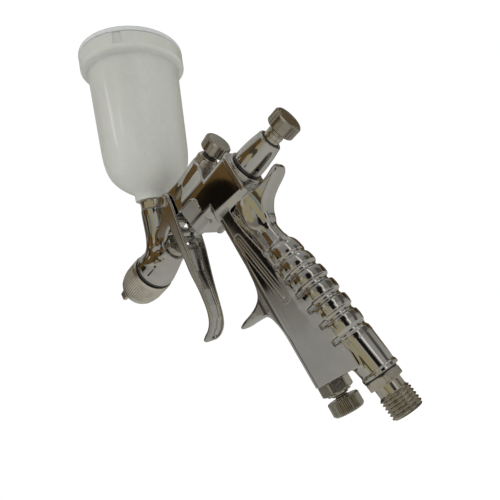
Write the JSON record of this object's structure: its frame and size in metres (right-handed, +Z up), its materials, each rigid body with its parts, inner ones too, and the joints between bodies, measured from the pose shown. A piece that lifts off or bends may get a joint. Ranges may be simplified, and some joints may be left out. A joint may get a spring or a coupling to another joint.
{
  "type": "mini gravity spray gun",
  "caption": "Compact gravity-feed paint spray gun with a pull trigger, three adjusting knobs, a removable air cap and a small translucent cup on top.",
  "frame": {"origin": "centre of the open end of the air inlet thread", "axes": "+Z up the gun, -X towards the nozzle, -Y the gun's left side"},
  "size_m": [0.1456, 0.0586, 0.2436],
  "materials": {
    "chrome": "mirror chrome plating on forged aluminium",
    "nickel": "satin nickel plating on machined brass",
    "steel": "polished stainless steel",
    "spring": "drawn spring wire",
    "brass": "machined brass",
    "rubber": "black seal rubber",
    "ptfe": "white sealing plastic",
    "cup": "milky translucent moulded plastic",
    "lid": "milky moulded plastic"
  },
  "bodies": {
    "gun": {"gun_body": "chrome", "fluid_nozzle": "steel", "air_baffle": "brass", "head_ring": "rubber", "needle_packing": "ptfe", "packing_screw": "nickel", "trigger_pin": "nickel", "pin_clip": "spring", "valve_guide": "nickel", "valve_packing": "ptfe", "needle_guide": "chrome", "guide_front_ring": "rubber", "guide_rear_ring": "rubber", "pattern_nut": "nickel", "pattern_ring": "rubber", "air_nut": "nickel", "air_ring": "rubber", "air_nipple": "nickel", "nipple_washer": "rubber", "valve_spring": "spring", "needle_spring": "spring"},
    "trigger": {"trigger": "steel"},
    "air_valve": {"valve_sleeve": "steel", "valve_seal": "rubber"},
    "needle": {"fluid_needle": "steel", "needle_collar": "brass"},
    "fluid_screw": {"fluid_stop": "brass"},
    "fluid_knob": {"fluid_knob": "nickel"},
    "pattern_screw": {"pattern_stem": "brass"},
    "pattern_knob": {"pattern_knob": "nickel"},
    "air_screw": {"air_stem": "brass"},
    "air_knob": {"air_knob": "nickel"},
    "air_cap": {"air_cap": "nickel"},
    "cap_ring": {"cap_ring": "nickel"},
    "cup_lift": {"cup_filter": "ptfe", "cup_gasket": "ptfe"},
    "cup": {"cup_joint": "nickel", "cup_body": "cup"},
    "lid_lift": {"lid_seal": "ptfe"},
    "lid": {"lid": "lid"},
    "vent": {"vent_plug": "ptfe"}
  },
  "joints": [
    {"name": "trigger_pull", "type": "hinge", "parent": "gun", "child": "trigger", "pos_m": [-0.0519, 0, 0.1405], "axis": [0, -1, 0], "range_deg": [0, 14], "stiffness_Nm_per_rad": 0.6, "springref_deg": -20.05},
    {"name": "air_valve_slide", "type": "slide", "parent": "gun", "child": "air_valve", "axis": [1, 0, 0], "range_m": [0, 0.005], "deforming": ["valve_spring"]},
    {"name": "needle_slide", "type": "slide", "parent": "gun", "child": "needle", "axis": [1, 0, 0], "range_m": [0, 0.0042], "deforming": ["needle_spring"]},
    {"name": "fluid_screw_travel", "type": "slide", "parent": "gun", "child": "fluid_screw", "axis": [1, 0, 0], "range_m": [0, 0.003]},
    {"name": "fluid_knob_turn", "type": "hinge", "parent": "fluid_screw", "child": "fluid_knob", "pos_m": [0.0203, 0, 0.1205], "axis": [1, 0, 0], "range_deg": [0, 1080]},
    {"name": "pattern_screw_travel", "type": "slide", "parent": "gun", "child": "pattern_screw", "axis": [0.9945, 0, 0.1045], "range_m": [0, 0.002]},
    {"name": "pattern_knob_turn", "type": "hinge", "parent": "pattern_screw", "child": "pattern_knob", "pos_m": [-0.0074, 0, 0.1418], "axis": [0.9945, 0, 0.1045], "range_deg": [0, 720]},
    {"name": "air_screw_travel", "type": "slide", "parent": "gun", "child": "air_screw", "axis": [-0.0175, 0, -0.9998], "range_m": [0, 0.002]},
    {"name": "air_knob_turn", "type": "hinge", "parent": "air_screw", "child": "air_knob", "pos_m": [-0.022, 0, 0.0084], "axis": [-0.0175, 0, -0.9998], "range_deg": [0, 720]},
    {"name": "air_cap_travel", "type": "slide", "parent": "gun", "child": "air_cap", "axis": [-1, 0, 0], "range_m": [0, 0.002]},
    {"name": "cap_ring_turn", "type": "hinge", "parent": "air_cap", "child": "cap_ring", "pos_m": [-0.0997, 0, 0.1205], "axis": [-1, 0, 0], "range_deg": [0, 720]},
    {"name": "cup_travel", "type": "slide", "parent": "gun", "child": "cup_lift", "axis": [0.4446, 0, 0.8957], "range_m": [0, 0.004]},
    {"name": "cup_turn", "type": "hinge", "parent": "cup_lift", "child": "cup", "pos_m": [-0.06421, 0, 0.15633], "axis": [0.4446, 0, 0.8957], "range_deg": [0, 1440]},
    {"name": "lid_lift_off", "type": "slide", "parent": "cup", "child": "lid_lift", "axis": [0.4446, 0, 0.8957], "range_m": [0, 0.012]},
    {"name": "lid_turn", "type": "hinge", "parent": "lid_lift", "child": "lid", "pos_m": [-0.0282, 0, 0.22888], "axis": [0.4446, 0, 0.8957], "continuous": true},
    {"name": "vent_pull", "type": "slide", "parent": "lid", "child": "vent", "axis": [0.4446, 0, 0.8957], "range_m": [0, 0.004]}
  ],
  "couplings": [
    {"joint": "air_valve_slide", "follows": "trigger_pull", "m_per_rad": 0.02},
    {"joint": "needle_slide", "follows": "trigger_pull", "m_per_rad": 0.0165},
    {"joint": "fluid_screw_travel", "follows": "fluid_knob_turn", "m_per_rad": 0.00015915},
    {"joint": "pattern_screw_travel", "follows": "pattern_knob_turn", "m_per_rad": 0.00015915},
    {"joint": "air_screw_travel", "follows": "air_knob_turn", "m_per_rad": 0.00015915},
    {"joint": "air_cap_travel", "follows": "cap_ring_turn", "m_per_rad": 0.00015915},
    {"joint": "cup_travel", "follows": "cup_turn", "m_per_rad": 0.00015915}
  ]
}
